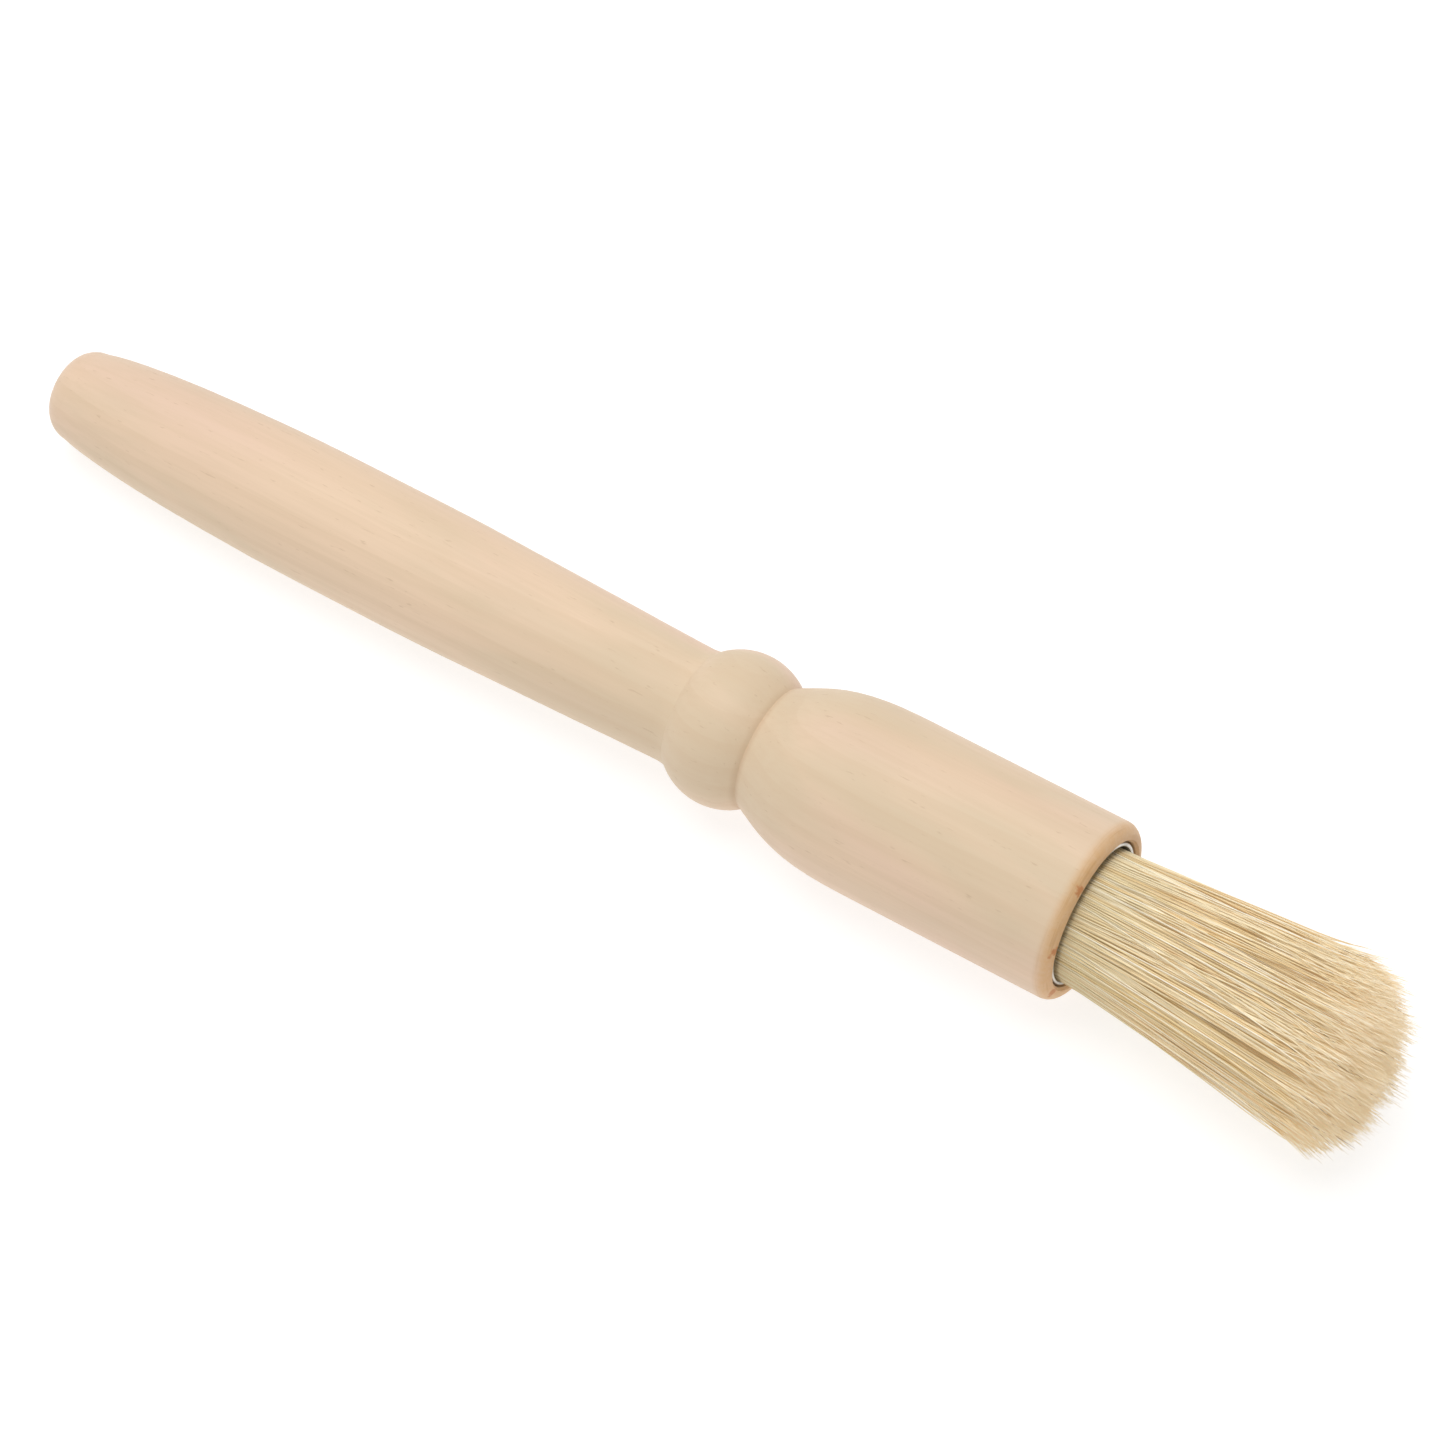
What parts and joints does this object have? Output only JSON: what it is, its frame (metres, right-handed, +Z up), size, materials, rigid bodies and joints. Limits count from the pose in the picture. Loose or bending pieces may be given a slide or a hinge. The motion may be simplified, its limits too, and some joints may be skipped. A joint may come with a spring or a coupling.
{
  "type": "round bristle brush",
  "caption": "Round hand brush: turned wooden handle with a bead and bell head, steel ferrule set in a bored end, and a flared bundle of pale bristles that bends and splays.",
  "frame": {"origin": "centre of the bounding box's bottom face, on the table that the brush lies on", "axes": "+X along the brush towards the bristles, +Z up from the table, +Y to the left"},
  "size_m": [0.2112, 0.0266, 0.0287],
  "materials": {
    "wood": "turned, sanded and left bare",
    "steel": "thin drawn steel, satin",
    "resin": "set amber resin",
    "glue": "set wood glue",
    "bristle": "natural pale hog bristle"
  },
  "bodies": {
    "handle": {"handle": "wood", "ferrule": "steel", "root_cement": "resin", "glue_sleeve": "glue", "bristle_roots": "bristle"},
    "throat": {"bristle_throat": "bristle"},
    "waist": {"bristle_waist": "bristle", "core_lock": "bristle", "inner_lock_01": "bristle", "inner_lock_02": "bristle", "inner_lock_03": "bristle", "inner_lock_04": "bristle", "inner_lock_05": "bristle", "inner_lock_06": "bristle"},
    "outer_lock_01": {"outer_lock_01": "bristle"},
    "outer_lock_02": {"outer_lock_02": "bristle"},
    "outer_lock_03": {"outer_lock_03": "bristle"},
    "outer_lock_04": {"outer_lock_04": "bristle"},
    "outer_lock_05": {"outer_lock_05": "bristle"},
    "outer_lock_06": {"outer_lock_06": "bristle"},
    "outer_lock_07": {"outer_lock_07": "bristle"},
    "outer_lock_08": {"outer_lock_08": "bristle"},
    "outer_lock_09": {"outer_lock_09": "bristle"},
    "outer_lock_10": {"outer_lock_10": "bristle"},
    "outer_lock_11": {"outer_lock_11": "bristle"},
    "outer_lock_12": {"outer_lock_12": "bristle"}
  },
  "joints": [
    {"name": "bristle_lift", "type": "hinge", "parent": "handle", "child": "throat", "pos_m": [0.06742, 0, 0.01431], "axis": [0, -1, 0], "range_deg": [-15, 15], "stiffness_Nm_per_rad": 0.6},
    {"name": "bristle_sweep", "type": "hinge", "parent": "throat", "child": "waist", "pos_m": [0.07741, 0, 0.01468], "axis": [-0.0367, 0, 0.9993], "range_deg": [-15, 15], "stiffness_Nm_per_rad": 0.5},
    {"name": "splay_01", "type": "hinge", "parent": "waist", "child": "outer_lock_01", "pos_m": [0.0796, 0.01103, 0.01772], "axis": [-0.0355, -0.2588, 0.9653], "range_deg": [0, 12], "stiffness_Nm_per_rad": 0.02},
    {"name": "splay_02", "type": "hinge", "parent": "waist", "child": "outer_lock_02", "pos_m": [0.07941, 0.00808, 0.02283], "axis": [-0.026, -0.7071, 0.7066], "range_deg": [0, 12], "stiffness_Nm_per_rad": 0.02},
    {"name": "splay_03", "type": "hinge", "parent": "waist", "child": "outer_lock_03", "pos_m": [0.0793, 0.00296, 0.02579], "axis": [-0.0095, -0.9659, 0.2586], "range_deg": [0, 12], "stiffness_Nm_per_rad": 0.02},
    {"name": "splay_04", "type": "hinge", "parent": "waist", "child": "outer_lock_04", "pos_m": [0.0793, -0.00296, 0.02579], "axis": [0.0095, -0.9659, -0.2586], "range_deg": [0, 12], "stiffness_Nm_per_rad": 0.02},
    {"name": "splay_05", "type": "hinge", "parent": "waist", "child": "outer_lock_05", "pos_m": [0.07941, -0.00808, 0.02283], "axis": [0.026, -0.7071, -0.7066], "range_deg": [0, 12], "stiffness_Nm_per_rad": 0.02},
    {"name": "splay_06", "type": "hinge", "parent": "waist", "child": "outer_lock_06", "pos_m": [0.0796, -0.01103, 0.01772], "axis": [0.0355, -0.2588, -0.9653], "range_deg": [0, 12], "stiffness_Nm_per_rad": 0.02},
    {"name": "splay_07", "type": "hinge", "parent": "waist", "child": "outer_lock_07", "pos_m": [0.07982, -0.01103, 0.01181], "axis": [0.0355, 0.2588, -0.9653], "range_deg": [0, 12], "stiffness_Nm_per_rad": 0.02},
    {"name": "splay_08", "type": "hinge", "parent": "waist", "child": "outer_lock_08", "pos_m": [0.08001, -0.00808, 0.00669], "axis": [0.026, 0.7071, -0.7066], "range_deg": [0, 12], "stiffness_Nm_per_rad": 0.02},
    {"name": "splay_09", "type": "hinge", "parent": "waist", "child": "outer_lock_09", "pos_m": [0.08011, -0.00296, 0.00374], "axis": [0.0095, 0.9659, -0.2586], "range_deg": [0, 12], "stiffness_Nm_per_rad": 0.02},
    {"name": "splay_10", "type": "hinge", "parent": "waist", "child": "outer_lock_10", "pos_m": [0.08011, 0.00296, 0.00374], "axis": [-0.0095, 0.9659, 0.2586], "range_deg": [0, 12], "stiffness_Nm_per_rad": 0.02},
    {"name": "splay_11", "type": "hinge", "parent": "waist", "child": "outer_lock_11", "pos_m": [0.08001, 0.00808, 0.00669], "axis": [-0.026, 0.7071, 0.7066], "range_deg": [0, 12], "stiffness_Nm_per_rad": 0.02},
    {"name": "splay_12", "type": "hinge", "parent": "waist", "child": "outer_lock_12", "pos_m": [0.07982, 0.01103, 0.01181], "axis": [-0.0355, 0.2588, 0.9653], "range_deg": [0, 12], "stiffness_Nm_per_rad": 0.02}
  ],
  "couplings": [
    {"joint": "splay_02", "follows": "splay_01", "ratio": 1},
    {"joint": "splay_03", "follows": "splay_01", "ratio": 1},
    {"joint": "splay_04", "follows": "splay_01", "ratio": 1},
    {"joint": "splay_05", "follows": "splay_01", "ratio": 1},
    {"joint": "splay_06", "follows": "splay_01", "ratio": 1},
    {"joint": "splay_07", "follows": "splay_01", "ratio": 1},
    {"joint": "splay_08", "follows": "splay_01", "ratio": 1},
    {"joint": "splay_09", "follows": "splay_01", "ratio": 1},
    {"joint": "splay_10", "follows": "splay_01", "ratio": 1},
    {"joint": "splay_11", "follows": "splay_01", "ratio": 1},
    {"joint": "splay_12", "follows": "splay_01", "ratio": 1}
  ]
}
